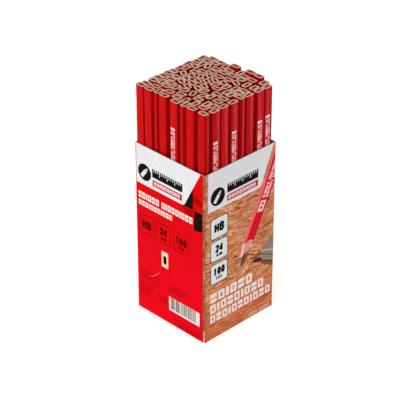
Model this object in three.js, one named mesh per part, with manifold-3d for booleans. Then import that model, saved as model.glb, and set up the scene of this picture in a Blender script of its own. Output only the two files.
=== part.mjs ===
// Open-top display carton packed with flat carpenter pencils that stand on their ends.
// Millimetres, +Z up. The origin is the middle of the carton's underside. The carton's two display sides face
// -X (the left side) and -Y (the front side), and the pencils rise well above its rim.
//
// The pencils along the two display sides are built piece by piece: two grooved wooden slats, glued along the
// middle, and the lead that lies in their grooves. The pencils behind them are joined low down into bundles.

import * as THREE from 'three';
import { mergeVertices } from 'three/addons/utils/BufferGeometryUtils.js';
import Module from 'manifold-3d';

const wasm = await Module();
wasm.setup();

// Carton: one folded sheet of solid board
const CARTON_X = 94;
const CARTON_Y = 92.5;
const CARTON_HEIGHT = 183.5;
const BOARD = 0.8;
const FOLD_RADIUS = 1;
const LAYER_GAP = 0.3;
const DUST_FLAP_DEPTH = 38;
const FLAP_TAPER = 6;
const GLUE_FLAP_WIDTH = 13;
const GLUE_FLAP_INSET = 6;

// Pencil
const PENCIL_LENGTH = 240;
const PENCIL_WIDTH = 10.4;
const PENCIL_THICKNESS = 6.2;
const PENCIL_CORNER = 1.6;
const LEAD_WIDTH = 5.1;
const LEAD_THICKNESS = 2.6;
const LEAD_CORNER = 1;
const GLUE_GAP = 0.1;

// Pile
const PENCIL_GAP = 0.15;
const WALL_GAP = 0.2;
const STAND_GAP = 0.15;
const UNEVENNESS = 1.4;
const PROUD = 3;
const POCKET_DEPTH = 2;
const TIE_WIDTH = 1.5;
const TIE_HEIGHT = 3;
const TIE_BOTTOM = 20;
const BUNDLE_COLUMNS = [3, 4, 3];

const CORNER_STEPS = 3;
const PLAIN_CORNER_STEPS = 1;
const DEGREE = Math.PI / 180;

// The pile seen from above, with the left side at the left and the front side at the bottom. Each mark is one
// pencil. U and = are the display pencils, with the broad side along Y or along X. The others stand behind them:
// I along Y, - along X, / \ r f turned part of the way, and P along Y and proud of the rest.
const PLAN = [
  ' U                   -   -          ',
  '   I   I I  I  I I           I  -   ',
  '                     -         I    ',
  '    I   -                /   -   I  ',
  ' U         I  I  /                  ',
  '       I  I     /    I      /   I   ',
  '  =          /     /    I         I ',
  '                             I      ',
  '  U I   -      /     r     I     -  ',
  '            /    /     /            ',
  '         \\          /       I   I   ',
  '    I I       /          I         P',
  '                /     /             ',
  ' U       r          f        I   -  ',
  '    -        f         /  I         ',
  '           f      I             I   ',
  ' =     I             -    /  I    P ',
  '    -       -  I                    ',
  ' U                 -    -      I    ',
  '       -                   -       P',
  '    I      I  I   -  I  I           ',
  '       -                    -    -  ',
  '  U  =            U   =        =    ',
  '         =    =            =        ',
];
const BEARING = { U: 90, '=': 180, I: 90, P: 90, '-': 0, '/': 62, '\\': 115, r: 22, f: -22 };
const DISPLAY_MARKS = 'U=';

// Where the display pencils stand, along the left side from the back corner and then along the front side: the
// middle of the section, the bearing off the mark's own, and the height of the foot above the carton's floor.
const DISPLAY_PLACES = [
  [-42.9, 40.05, 0.2, 1.3],
  [-42.6, 29.35, 0.6, 0.7],
  [-39.8, 19.6, 1.4, 0.9],
  [-41.6, 10.9, 0.8, 0.6],
  [-42.85, -4.9, -0.4, 0.6],
  [-40.75, -15.6, 1.2, 0.7],
  [-42.5, -25.4, 1.6, 1.1],
  [-41.8, -39.3, 1.6, 0.8],
  [-30.9, -41.95, -1.2, 0.4],
  [-20.0, -42.1, 0.2, 0.9],
  [-7.4, -42.1, 0.4, 0.8],
  [3.1, -40.0, 0.2, 1.2],
  [12.9, -41.8, -3.2, 0.5],
  [26.4, -42.05, 0.5, 0.4],
  [37.2, -41.9, -0.6, 0.3],
];

// How the pile settles
const SETTLE_ROUNDS = 4000;
const PUSH_SHARE = 0.35;
const DRIFT_BACK = 0.004;
const TURN_STIFFNESS = 0.25;

const INNER_X = CARTON_X - 2 * BOARD;
const INNER_Y = CARTON_Y - 2 * BOARD;
const LAYER = BOARD + LAYER_GAP;
const FLOOR_TOP = 2 * LAYER + BOARD;

const CARD = new THREE.MeshStandardMaterial({ color: 0xc8141c, roughness: 0.6, metalness: 0 });
const LACQUERED_WOOD = new THREE.MeshStandardMaterial({ color: 0xc2101a, roughness: 0.3, metalness: 0 });
const GRAPHITE = new THREE.MeshStandardMaterial({ color: 0x34342f, roughness: 0.5, metalness: 0.1 });

// ---- solids -------------------------------------------------------------------------------------------------

function roundedRectangle(width, depth, corner) {
  const x = width / 2;
  const y = depth / 2;
  const shape = new THREE.Shape();
  shape.moveTo(corner - x, -y);
  shape.lineTo(x - corner, -y);
  shape.absarc(x - corner, corner - y, corner, -Math.PI / 2, 0);
  shape.lineTo(x, y - corner);
  shape.absarc(x - corner, y - corner, corner, 0, Math.PI / 2);
  shape.lineTo(corner - x, y);
  shape.absarc(corner - x, y - corner, corner, Math.PI / 2, Math.PI);
  shape.lineTo(-x, corner - y);
  shape.absarc(corner - x, corner - y, corner, Math.PI, 1.5 * Math.PI);
  return shape;
}

function polygon(points) {
  return new THREE.Shape(points.map(([x, y]) => new THREE.Vector2(x, y)));
}

function extrude(shape, bottom, top, cornerSteps) {
  const options = { depth: top - bottom, bevelEnabled: false, curveSegments: cornerSteps };
  return new THREE.ExtrudeGeometry(shape, options).translate(0, 0, bottom);
}

function solidOf(geometry) {
  const bare = geometry.clone();
  bare.deleteAttribute('normal');
  bare.deleteAttribute('uv');
  const merged = mergeVertices(bare, 1e-4);
  return new wasm.Manifold(new wasm.Mesh({
    numProp: 3,
    vertProperties: new Float32Array(merged.attributes.position.array),
    triVerts: new Uint32Array(merged.index.array),
  }));
}

function geometryOf(solid) {
  const mesh = solid.getMesh();
  const geometry = new THREE.BufferGeometry();
  geometry.setAttribute('position', new THREE.BufferAttribute(new Float32Array(mesh.vertProperties), 3));
  geometry.setIndex(new THREE.BufferAttribute(new Uint32Array(mesh.triVerts), 1));
  geometry.computeVertexNormals();
  return geometry;
}

function prism(shape, bottom, top, cornerSteps = CORNER_STEPS) {
  return solidOf(extrude(shape, bottom, top, cornerSteps));
}

function joined(solids) {
  return solids.reduce((whole, next) => whole.add(next));
}

function named(name, geometry, material) {
  const mesh = new THREE.Mesh(geometry, material);
  mesh.name = name;
  return mesh;
}

// ---- pile: where each pencil stands ---------------------------------------------------------------------------

function planPencils() {
  const pencils = [];
  const column = INNER_X / PLAN[0].length;
  const row = INNER_Y / PLAN.length;
  PLAN.forEach((line, j) => {
    [...line].forEach((mark, i) => {
      if (mark === ' ') return;
      pencils.push({
        mark,
        x: (i + 0.5) * column - INNER_X / 2,
        y: INNER_Y / 2 - (j + 0.5) * row,
        turn: BEARING[mark] * DEGREE,
      });
    });
  });
  pencils.forEach((pencil, i) => {
    const share = Math.abs(Math.sin(12.9898 * (i + 1)) * 43758.5453) % 1;
    pencil.bottom = FLOOR_TOP + STAND_GAP + UNEVENNESS * share + (pencil.mark === 'P' ? PROUD : 0);
  });
  displayPencils(pencils).forEach((pencil, i) => {
    const [x, y, turn, lift] = DISPLAY_PLACES[i];
    Object.assign(pencil, { x, y, turn: pencil.turn + turn * DEGREE, bottom: FLOOR_TOP + lift, placed: true });
  });
  return pencils;
}

// The display pencils in the order of their numbers: the left side from the back, then the front side from the left.
function displayPencils(pencils) {
  const display = pencils.filter((pencil) => DISPLAY_MARKS.includes(pencil.mark));
  const left = display.filter((p) => p.x < PENCIL_WIDTH - INNER_X / 2).sort((p, q) => q.y - p.y);
  const front = display.filter((p) => !left.includes(p)).sort((p, q) => p.x - q.x);
  return [...left, ...front];
}

// The corner-arc centres of a pencil's section: the section is this rectangle, grown by the corner radius.
function core(pencil) {
  const c = Math.cos(pencil.turn);
  const s = Math.sin(pencil.turn);
  const u = PENCIL_WIDTH / 2 - PENCIL_CORNER;
  const v = PENCIL_THICKNESS / 2 - PENCIL_CORNER;
  const corners = [[u, v], [-u, v], [-u, -v], [u, -v]];
  return corners.map(([a, b]) => ({ x: pencil.x + a * c - b * s, y: pencil.y + a * s + b * c }));
}

// The way from rectangle p to rectangle q across the edge of p that parts them best, and how far they are parted.
function bestEdge(p, q) {
  let best = { apart: -Infinity };
  for (let i = 0; i < p.length; i += 1) {
    const a = p[i];
    const b = p[(i + 1) % p.length];
    const length = Math.hypot(b.x - a.x, b.y - a.y);
    const x = (b.y - a.y) / length;
    const y = (a.x - b.x) / length;
    let apart = Infinity;
    let at = null;
    for (const r of q) {
      const d = (r.x - a.x) * x + (r.y - a.y) * y;
      if (d < apart) {
        apart = d;
        at = r;
      }
    }
    if (apart > best.apart) best = { apart, x, y, at };
  }
  return best;
}

// The nearest points of two rectangles that don't overlap.
function nearest(p, q) {
  let best = { apart: Infinity };
  const tryPair = (points, edges, sign) => {
    for (const r of points) {
      for (let i = 0; i < edges.length; i += 1) {
        const a = edges[i];
        const b = edges[(i + 1) % edges.length];
        const ex = b.x - a.x;
        const ey = b.y - a.y;
        const along = ((r.x - a.x) * ex + (r.y - a.y) * ey) / (ex * ex + ey * ey);
        const t = Math.min(1, Math.max(0, along));
        const dx = (r.x - a.x - t * ex) * sign;
        const dy = (r.y - a.y - t * ey) * sign;
        const apart = Math.hypot(dx, dy);
        if (apart < best.apart) best = { apart, x: dx / apart, y: dy / apart, at: r };
      }
    }
  };
  tryPair(q, p, 1);
  tryPair(p, q, -1);
  return best;
}

// The contact between two pencils: the free distance, the direction from p to q, and the place.
function contact(p, q) {
  const cp = core(p);
  const cq = core(q);
  const fromP = bestEdge(cp, cq);
  const fromQ = bestEdge(cq, cp);
  let found;
  if (fromP.apart > 0 || fromQ.apart > 0) {
    found = nearest(cp, cq);
  } else if (fromP.apart >= fromQ.apart) {
    found = fromP;
  } else {
    found = { apart: fromQ.apart, x: -fromQ.x, y: -fromQ.y, at: fromQ.at };
  }
  return { ...found, apart: found.apart - 2 * PENCIL_CORNER };
}

function push(pencil, at, x, y, distance, reach) {
  if (pencil.placed) return;
  const arm = (at.x - pencil.x) * y - (at.y - pencil.y) * x;
  pencil.x += x * distance;
  pencil.y += y * distance;
  pencil.turn += (TURN_STIFFNESS * arm * distance) / reach;
}

// Pushes the packed pencils off each other, off the display pencils, and off the walls and the glue flap inside
// the right wall, until each has room. The way back to the plan fades out.
function settle(pencils) {
  const reach = (PENCIL_WIDTH ** 2 + PENCIL_THICKNESS ** 2) / 12;
  const planned = pencils.map((pencil) => ({ ...pencil }));
  for (let round = 0; round < SETTLE_ROUNDS; round += 1) {
    const fade = Math.max(0, 1 - (2 * round) / SETTLE_ROUNDS);
    for (let i = 0; i < pencils.length; i += 1) {
      const p = pencils[i];
      for (let j = i + 1; j < pencils.length; j += 1) {
        const q = pencils[j];
        if (Math.hypot(p.x - q.x, p.y - q.y) > PENCIL_WIDTH + 2) continue;
        const c = contact(p, q);
        const need = (PENCIL_GAP - c.apart) * PUSH_SHARE;
        if (need <= 0) continue;
        push(p, c.at, -c.x, -c.y, need, reach);
        push(q, c.at, c.x, c.y, need, reach);
      }
      for (const corner of core(p)) {
        const free = PENCIL_CORNER + WALL_GAP;
        const overX = Math.abs(corner.x) + free - INNER_X / 2 + (corner.x > 0 ? BOARD : 0);
        const overY = Math.abs(corner.y) + free - INNER_Y / 2;
        if (overX > 0) push(p, corner, -Math.sign(corner.x), 0, overX * PUSH_SHARE, reach);
        if (overY > 0) push(p, corner, 0, -Math.sign(corner.y), overY * PUSH_SHARE, reach);
      }
      p.x += (planned[i].x - p.x) * DRIFT_BACK * fade;
      p.y += (planned[i].y - p.y) * DRIFT_BACK * fade;
      p.turn += (planned[i].turn - p.turn) * DRIFT_BACK * fade;
    }
  }
  return pencils;
}

function tightest(pencils) {
  let least = Infinity;
  pencils.forEach((p, i) => {
    pencils.slice(i + 1).forEach((q) => {
      if (Math.hypot(p.x - q.x, p.y - q.y) < PENCIL_WIDTH + 2) least = Math.min(least, contact(p, q).apart);
    });
  });
  return least;
}

// ---- pencils --------------------------------------------------------------------------------------------------

function casing(cornerSteps) {
  const section = roundedRectangle(PENCIL_WIDTH, PENCIL_THICKNESS, PENCIL_CORNER);
  return prism(section, 0, PENCIL_LENGTH, cornerSteps);
}

function leadRoom(grow, bottom, top) {
  const section = roundedRectangle(LEAD_WIDTH + 2 * grow, LEAD_THICKNESS + 2 * grow, LEAD_CORNER);
  return prism(section, bottom, top, PLAIN_CORNER_STEPS);
}

function block(width, depth, bottom, top) {
  return prism(polygon([
    [-width / 2, -depth / 2],
    [width / 2, -depth / 2],
    [width / 2, depth / 2],
    [-width / 2, depth / 2],
  ]), bottom, top);
}

// One half of the casing, on the +Y side of the glue line, with the groove for the lead.
function slat() {
  const half = block(2 * PENCIL_WIDTH, PENCIL_THICKNESS, -1, PENCIL_LENGTH + 1);
  const upper = half.translate([0, (PENCIL_THICKNESS + GLUE_GAP) / 2, 0]);
  return casing(CORNER_STEPS).intersect(upper).subtract(leadRoom(GLUE_GAP, -1, PENCIL_LENGTH + 1));
}

function displayPencil(name, pencil, shapes) {
  const group = new THREE.Group();
  const outer = named(`${name}_outer_slat`, shapes.slat, LACQUERED_WOOD);
  const inner = named(`${name}_inner_slat`, shapes.slat, LACQUERED_WOOD);
  const lead = named(`${name}_lead`, shapes.lead, GRAPHITE);
  inner.rotation.z = Math.PI;
  group.add(outer, inner, lead);
  group.position.set(pencil.x, pencil.y, pencil.bottom);
  group.rotation.z = pencil.turn;
  return group;
}

// ---- bundles --------------------------------------------------------------------------------------------------

function stand(solid, pencil, height = pencil.bottom) {
  return solid.rotate([0, 0, pencil.turn / DEGREE]).translate([pencil.x, pencil.y, height]);
}

// Splits the pencils into compact groups: columns across X, then each column along Y.
function bundlesOf(pencils) {
  const total = BUNDLE_COLUMNS.reduce((sum, rows) => sum + rows, 0);
  const acrossX = [...pencils].sort((p, q) => p.x - q.x);
  const bundles = [];
  let taken = 0;
  let rowsDone = 0;
  for (const rows of BUNDLE_COLUMNS) {
    rowsDone += rows;
    const end = Math.round((pencils.length * rowsDone) / total);
    const column = acrossX.slice(taken, end).sort((p, q) => q.y - p.y);
    for (let k = 0; k < rows; k += 1) {
      const from = Math.round((column.length * k) / rows);
      const to = Math.round((column.length * (k + 1)) / rows);
      bundles.push(column.slice(from, to));
    }
    taken = end;
  }
  return bundles;
}

// The nearest neighbours that join a bundle into one tree.
function treeOf(members) {
  const linked = [members[0]];
  const loose = members.slice(1);
  const links = [];
  while (loose.length > 0) {
    let best = { apart: Infinity };
    for (const p of linked) {
      for (const q of loose) {
        const { apart } = contact(p, q);
        if (apart < best.apart) best = { apart, p, q };
      }
    }
    links.push(best);
    linked.push(best.q);
    loose.splice(loose.indexOf(best.q), 1);
  }
  return links;
}

// A bundle's pencils, each with its lead pocket, joined low down by small ties from pencil to pencil.
function bundle(members) {
  const pocket = block(LEAD_WIDTH, LEAD_THICKNESS, PENCIL_LENGTH - POCKET_DEPTH, PENCIL_LENGTH + 1);
  const pencil = casing(PLAIN_CORNER_STEPS).subtract(pocket);
  const ties = treeOf(members).map(({ p, q }) => {
    const tie = block(Math.hypot(q.x - p.x, q.y - p.y), TIE_WIDTH, 0, TIE_HEIGHT);
    const middle = { x: (p.x + q.x) / 2, y: (p.y + q.y) / 2, turn: Math.atan2(q.y - p.y, q.x - p.x) };
    return stand(tie, middle, TIE_BOTTOM);
  });
  return joined([...members.map((p) => stand(pencil, p)), ...ties]);
}

// ---- carton ---------------------------------------------------------------------------------------------------

function flap(points, layer) {
  return prism(polygon(points), layer * LAYER, layer * LAYER + BOARD);
}

// Four walls, the glue flap inside the right wall, and a bottom of three layers: the outer flap, folded in from
// the front, the two tapered dust flaps from the sides, and the inner flap from the back. Each flap is joined to
// its own wall along its fold, and its free edges stay clear of the other walls.
function carton() {
  const x = INNER_X / 2;
  const y = INNER_Y / 2;
  const fold = BOARD / 2;
  const freeX = x - LAYER_GAP;
  const freeY = y - LAYER_GAP;
  const outside = prism(roundedRectangle(CARTON_X, CARTON_Y, FOLD_RADIUS), 0, CARTON_HEIGHT);
  const inside = prism(roundedRectangle(INNER_X, INNER_Y, FOLD_RADIUS - BOARD), -1, CARTON_HEIGHT + 1);
  const outerFlap = flap([[-freeX, -y - fold], [freeX, -y - fold], [freeX, freeY], [-freeX, freeY]], 0);
  const dustFlaps = [-1, 1].map((side) => {
    const points = [
      [side * (x + fold), -freeY],
      [side * (x + fold), freeY],
      [side * (x - DUST_FLAP_DEPTH), freeY - FLAP_TAPER],
      [side * (x - DUST_FLAP_DEPTH), -freeY + FLAP_TAPER],
    ];
    return flap(side < 0 ? points.reverse() : points, 1);
  });
  const innerFlap = flap([[-freeX, -freeY], [freeX, -freeY], [freeX, y + fold], [-freeX, y + fold]], 2);
  const glueFlap = prism(polygon([
    [x - BOARD, y - GLUE_FLAP_WIDTH],
    [x + fold, y - GLUE_FLAP_WIDTH],
    [x + fold, y + fold],
    [x - BOARD, y + fold],
  ]), FLOOR_TOP + GLUE_FLAP_INSET, CARTON_HEIGHT - GLUE_FLAP_INSET);
  return joined([outside.subtract(inside), outerFlap, ...dustFlaps, innerFlap, glueFlap]);
}

// ---- assembly -------------------------------------------------------------------------------------------------

const pile = settle(planPencils());
if (tightest(pile) < PENCIL_GAP / 2) throw new Error(`the pile is too tight: ${tightest(pile).toFixed(3)} mm`);

const packed = pile.filter((pencil) => !DISPLAY_MARKS.includes(pencil.mark));
const number = (i) => String(i + 1).padStart(2, '0');

const set = new THREE.Group();
set.add(named('carton', geometryOf(carton()), CARD));

const shapes = { slat: geometryOf(slat()), lead: geometryOf(leadRoom(0, 0, PENCIL_LENGTH)) };
displayPencils(pile).forEach((pencil, i) => {
  set.add(displayPencil(`pencil_${number(i)}`, pencil, shapes));
});

bundlesOf(packed).forEach((members, i) => {
  set.add(named(`pencil_bundle_${number(i)}`, geometryOf(bundle(members)), LACQUERED_WOOD));
});

export default set;
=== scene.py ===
# A display carton packed with flat carpenter pencils: the looks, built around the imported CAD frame.
# Every length here is in millimetres, and make_object() turns it into the frame's metres.
# The carton's two display sides face -X (left) and -Y (front). The other two repeat their print.
import random
from math import atan2, cos, hypot, pi, radians, sin

import bpy
import bmesh
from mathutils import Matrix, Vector
from mathutils.geometry import delaunay_2d_cdt


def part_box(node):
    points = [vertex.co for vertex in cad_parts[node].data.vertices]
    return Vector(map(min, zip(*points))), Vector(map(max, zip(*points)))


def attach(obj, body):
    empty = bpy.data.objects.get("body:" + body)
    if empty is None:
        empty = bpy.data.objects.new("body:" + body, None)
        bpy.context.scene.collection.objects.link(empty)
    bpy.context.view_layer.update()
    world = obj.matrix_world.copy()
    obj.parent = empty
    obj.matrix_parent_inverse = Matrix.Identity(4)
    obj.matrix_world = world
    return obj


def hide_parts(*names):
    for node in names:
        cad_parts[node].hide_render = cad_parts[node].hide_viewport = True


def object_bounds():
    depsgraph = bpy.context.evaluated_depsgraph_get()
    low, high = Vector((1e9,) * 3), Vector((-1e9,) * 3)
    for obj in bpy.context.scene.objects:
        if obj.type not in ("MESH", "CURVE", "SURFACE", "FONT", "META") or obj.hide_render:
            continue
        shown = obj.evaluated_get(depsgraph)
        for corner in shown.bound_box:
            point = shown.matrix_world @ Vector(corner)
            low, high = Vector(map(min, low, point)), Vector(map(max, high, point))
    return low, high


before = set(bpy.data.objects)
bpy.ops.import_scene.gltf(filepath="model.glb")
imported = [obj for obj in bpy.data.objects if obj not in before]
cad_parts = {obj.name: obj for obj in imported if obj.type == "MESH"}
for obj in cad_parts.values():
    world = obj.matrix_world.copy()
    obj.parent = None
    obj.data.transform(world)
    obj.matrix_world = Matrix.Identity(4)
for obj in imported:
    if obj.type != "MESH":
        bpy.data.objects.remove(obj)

CAD_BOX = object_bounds()
MM = 0.001

# ---- sizes: the carton's box is the frame's, the rest is the CAD's own or detail finer than the CAD ----

CARTON_LOW, CARTON_HIGH = (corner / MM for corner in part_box("carton"))
CARTON_X, CARTON_Y, CARTON_HEIGHT = CARTON_HIGH - CARTON_LOW
BOARD = 0.8
FOLD_RADIUS = 1.0
FOLD_STEPS = 4
WEAR_REACH = 1.5
LAYER_GAP = 0.3
HAIR = 0.02
DUST_FLAP_DEPTH = 38.0
FLAP_TAPER = 6.0
GLUE_FLAP_WIDTH = 13.0
GLUE_FLAP_INSET = 6.0

PENCIL_LENGTH = 240.0
PENCIL_WIDTH = 10.4
PENCIL_THICKNESS = 6.2
PENCIL_CORNER = 1.6
CORNER_STEPS = 6
CROWN_STEPS = 6
CROWN = 0.16
COAT = 0.26
COAT_LIP = 0.12
PRIMER = 0.17
LEAD_WIDTH = 5.1
LEAD_THICKNESS = 2.6
LEAD_CORNER = 1.0
LEAD_SINK = 0.12
LEAD_BEVEL = 0.1
LEAD_EDGE = 0.12
GLUE_GAP = 0.05
CUT_TILT = 0.02
CUT_ROOM = 0.18
GRAIN_SPREAD = (90, 90, 900)
SLAT_GRAIN_SHIFT = 40

# The foil print. A patch is x from, x to, how far down from, how far down to. A row is x from, x to, the
# pitch of its strokes, and how many of them stand together.
PRINT_RISE = 0.03
PRINT_SUNK = 0.05
PRINT_SPANS = 3
PRINT_LENGTH = 100.0
PACKED_PRINT_LENGTH = 36.0
PRINT_DROP = (26.5, 30.5)
PRINT_TAB = (-1.6, 3.7, 0.0, 2.4)
PRINT_ROWS = ((0.9, 3.7, 1.5, (3, 9, 7, 9, 11, 8)), (-1.6, 0.2, 1.1, (6, 9, 4, 8, 9, 5, 8, 7, 9)))
ROW_START = 3.6
STROKE_SHARE = 0.36
SHAPE_SHARE = 0.14

DISPLAY_PENCILS = [f"pencil_{i:02d}" for i in range(1, 16)]
# The display pencils whose print faces outwards, and how far below the top it starts
PRINT_OUTWARD = {
    "pencil_05": 26.8, "pencil_09": 30.4, "pencil_11": 28.7, "pencil_14": 30.2, "pencil_15": 28.4,
}
BUNDLES = sorted(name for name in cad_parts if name.startswith("pencil_bundle_"))

SMOOTH_ANGLE = radians(32.0)

# Specular levels
PRINT_SHINE = 0.01
LACQUER_SHINE = 0.03
MATT_SHINE = 0.1
LEAD_SHINE = 0.2
BOARD_SHINE = 0.5
# How far the saw's marks on the cut ends are turned, in degrees
SAW_TURN = 24

DICE = random.Random(24)


# ---- meshes ----

class Build:
    """The vertices and faces of one piece, with a finish for each face and named values for each vertex."""

    def __init__(self):
        self.verts = []
        self.faces = []
        self.inks = []
        self.values = {}

    def add(self, verts, faces, ink=0, **values):
        first = len(self.verts)
        self.verts += verts
        self.faces += [[first + i for i in face] for face in faces]
        self.inks += ink if isinstance(ink, list) else [ink] * len(faces)
        for key, given in values.items():
            self.values.setdefault(key, []).extend(given)


def make_object(name, build, materials):
    mesh = bpy.data.meshes.new(name)
    mesh.from_pydata([Vector(v) * MM for v in build.verts], [], build.faces)
    for material in materials:
        mesh.materials.append(material)
    mesh.polygons.foreach_set("material_index", build.inks)
    for key, given in build.values.items():
        if isinstance(given[0], float):
            mesh.attributes.new(key, "FLOAT", "POINT").data.foreach_set("value", given)
        else:
            flat = [x for vector in given for x in vector]
            mesh.attributes.new(key, "FLOAT_VECTOR", "POINT").data.foreach_set("vector", flat)
    mesh.validate()
    mesh.shade_smooth()
    mesh.set_sharp_from_angle(angle=SMOOTH_ANGLE)
    made = bpy.data.objects.new(name, mesh)
    bpy.context.scene.collection.objects.link(made)
    return made


def outline(width, depth, corner, crown=0.0):
    """A rounded rectangle, anticlockwise. Its long sides rise by crown from their ends to their middle."""
    x, y = width / 2 - corner, depth / 2 - corner - crown
    points = []
    for quarter, (cx, cy) in enumerate([(x, y), (-x, y), (-x, -y), (x, -y)]):
        for step in range(CORNER_STEPS + 1):
            angle = pi / 2 * (quarter + step / CORNER_STEPS)
            points.append((cx + corner * cos(angle), cy + corner * sin(angle)))
        if crown and quarter in (0, 2):
            side = 1 if quarter == 0 else -1
            for step in range(1, CROWN_STEPS):
                along = 1 - 2 * step / CROWN_STEPS
                rise = crown * (1 - along * along)
                points.append((side * along * x, side * (y + corner + rise)))
    return points


def inset(points, distance):
    """The outline moved inwards by distance."""
    moved = []
    for i, (x, y) in enumerate(points):
        ax, ay = points[i - 1]
        bx, by = points[(i + 1) % len(points)]
        dx, dy = bx - ax, by - ay
        length = hypot(dx, dy)
        moved.append((x - dy / length * distance, y + dx / length * distance))
    return moved


def tube_faces(count, rings, closed=False):
    """Quads between rings of count points each."""
    faces = []
    for r in range(rings if closed else rings - 1):
        for i in range(count):
            j = (i + 1) % count
            a, b = r * count, (r + 1) % rings * count
            faces.append([a + i, a + j, b + j, b + i])
    return faces


def solid_faces(count, rings=2):
    """The faces of a tube with both ends closed."""
    last = count * (rings - 1)
    return tube_faces(count, rings) + [list(range(count))[::-1], list(range(last, last + count))]


# ---- pencils: where they stand ----

class Stand:
    """One pencil's place: the middle of its section, its bearing, its ends' heights, and its own chances."""

    def __init__(self, x, y, turn, bottom, print_side, print_drop=None):
        self.x, self.y, self.turn = x, y, turn
        self.bottom, self.top = bottom, bottom + PENCIL_LENGTH
        self.print_side = print_side
        self.print_drop = print_drop or DICE.uniform(*PRINT_DROP)
        self.tone = DICE.random()
        self.seed = [DICE.uniform(-spread, spread) for spread in GRAIN_SPREAD]
        self.cuts = [[DICE.uniform(-CUT_TILT, CUT_TILT) for _ in "xy"] for _ in ("top", "bottom")]

    def place(self, x, y, z):
        c, s = cos(self.turn), sin(self.turn)
        return (self.x + x * c - y * s, self.y + x * s + y * c, z)

    def top_at(self, x, y, drop=0.0):
        return self.top - drop - CUT_ROOM + x * self.cuts[0][0] + y * self.cuts[0][1]

    def bottom_at(self, x, y, rise=0.0):
        return self.bottom + rise + CUT_ROOM + x * self.cuts[1][0] + y * self.cuts[1][1]

    def grain(self, x, y, z):
        return (x + self.seed[0], y + self.seed[1], z + self.seed[2])

    def sleeve(self, *rings):
        """Places and grain of rings along the pencil: each an outline and its distance from the lower cut.
        The upper end mirrors them."""
        ends = ((self.bottom_at, rings), (self.top_at, rings[::-1]))
        points = [(x, y, level(x, y, back)) for level, end in ends for ring, back in end for x, y in ring]
        return [self.place(*p) for p in points], [self.grain(*p) for p in points]


def long_bearing(points):
    """The middle of some points, and the bearing of their long axis."""
    n = len(points)
    mx, my = sum(p[0] for p in points) / n, sum(p[1] for p in points) / n
    xx = sum((p[0] - mx) ** 2 for p in points)
    yy = sum((p[1] - my) ** 2 for p in points)
    xy = sum((p[0] - mx) * (p[1] - my) for p in points)
    return mx, my, 0.5 * atan2(2 * xy, xx - yy)


def middle(node):
    low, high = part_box(node)
    return (low + high) / 2 / MM


def display_stand(name):
    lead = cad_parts[f"{name}_lead"].data
    corners = {(round(v.co.x / MM, 3), round(v.co.y / MM, 3)) for v in lead.vertices}
    _, _, turn = long_bearing(list(corners))
    centre = middle(f"{name}_lead")
    outward = middle(f"{name}_outer_slat") - centre
    if cos(turn) * outward.y - sin(turn) * outward.x < 0:
        turn += pi
    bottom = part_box(f"{name}_lead")[0].z / MM
    print_side = 1 if name in PRINT_OUTWARD else -1
    return Stand(centre.x, centre.y, turn, bottom, print_side, PRINT_OUTWARD.get(name))


def bundle_stands(node):
    """The stands of a bundle's pencils, from the upper end faces of its CAD solid."""
    solid = bmesh.new()
    solid.from_mesh(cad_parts[node].data)
    bmesh.ops.remove_doubles(solid, verts=solid.verts, dist=1e-6)
    pile_top = 0.9 * CAD_BOX[1].z
    ends = {f for f in solid.faces if f.normal.z > 0.99 and f.calc_center_median().z > pile_top}
    stands = []
    while ends:
        island, front = set(), {ends.pop()}
        while front:
            face = front.pop()
            island.add(face)
            near = {f for edge in face.edges for f in edge.link_faces if f in ends}
            ends -= near
            front |= near
        corners = {(v.co.x / MM, v.co.y / MM) for face in island for v in face.verts}
        x, y, turn = long_bearing(list(corners))
        if max(hypot(px - x, py - y) for px, py in corners) < LEAD_WIDTH:
            continue
        top = max(v.co.z for face in island for v in face.verts) / MM
        stands.append((x, y, turn, top - PENCIL_LENGTH))
    solid.free()
    stands.sort(key=lambda s: (round(s[1]), s[0]))
    return [Stand(x, y, turn, bottom, DICE.choice((1, -1))) for x, y, turn, bottom in stands]


# ---- pencils: their pieces ----

def half_section(side):
    """One slat's section: half of the wood, with the groove for the lead, on the side given by +1 or -1."""
    wood = inset(outline(PENCIL_WIDTH, PENCIL_THICKNESS, PENCIL_CORNER, CROWN), COAT)
    start = max(range(len(wood)), key=lambda i: (wood[i][0], -abs(wood[i][1])))
    half = [p for p in wood[start:] + wood[:start] if p[1] > GLUE_GAP]
    half.sort(key=lambda p: atan2(p[1], p[0]))
    x, y = LEAD_WIDTH / 2 + GLUE_GAP, LEAD_THICKNESS / 2 + GLUE_GAP
    cy = y - LEAD_CORNER
    groove = []
    for cx, from_angle in ((LEAD_CORNER - x, pi), (x - LEAD_CORNER, pi / 2)):
        for step in range(CORNER_STEPS + 1):
            angle = from_angle - pi / 2 * step / CORNER_STEPS
            groove.append((cx + LEAD_CORNER * cos(angle), cy + LEAD_CORNER * sin(angle)))
    edge = PENCIL_WIDTH / 2 - COAT
    section = [(edge, GLUE_GAP)] + half + [(-edge, GLUE_GAP), (-x, GLUE_GAP)] + groove + [(x, GLUE_GAP)]
    return [(side * px, side * py) for px, py in section]


def add_slat(build, stand, side):
    section = half_section(side)
    count = len(section)
    points = [(x, y, level(x, y)) for level in (stand.bottom_at, stand.top_at) for x, y in section]
    grain = [stand.grain(x, y + SLAT_GRAIN_SHIFT * side, z) for x, y, z in points]
    groove_size = 2 * CORNER_STEPS + 4
    # Rim: 1 outside the groove, 0 in it; the wood darkens with graphite near 0 and gets a painted highlight
    # near 1
    rim = [1.0] * (count - groove_size) + [0.0] * groove_size
    verts = [stand.place(*p) for p in points]
    build.add(verts, solid_faces(count), grain=grain, tone=[stand.tone] * len(verts), rim=rim * 2)


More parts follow.
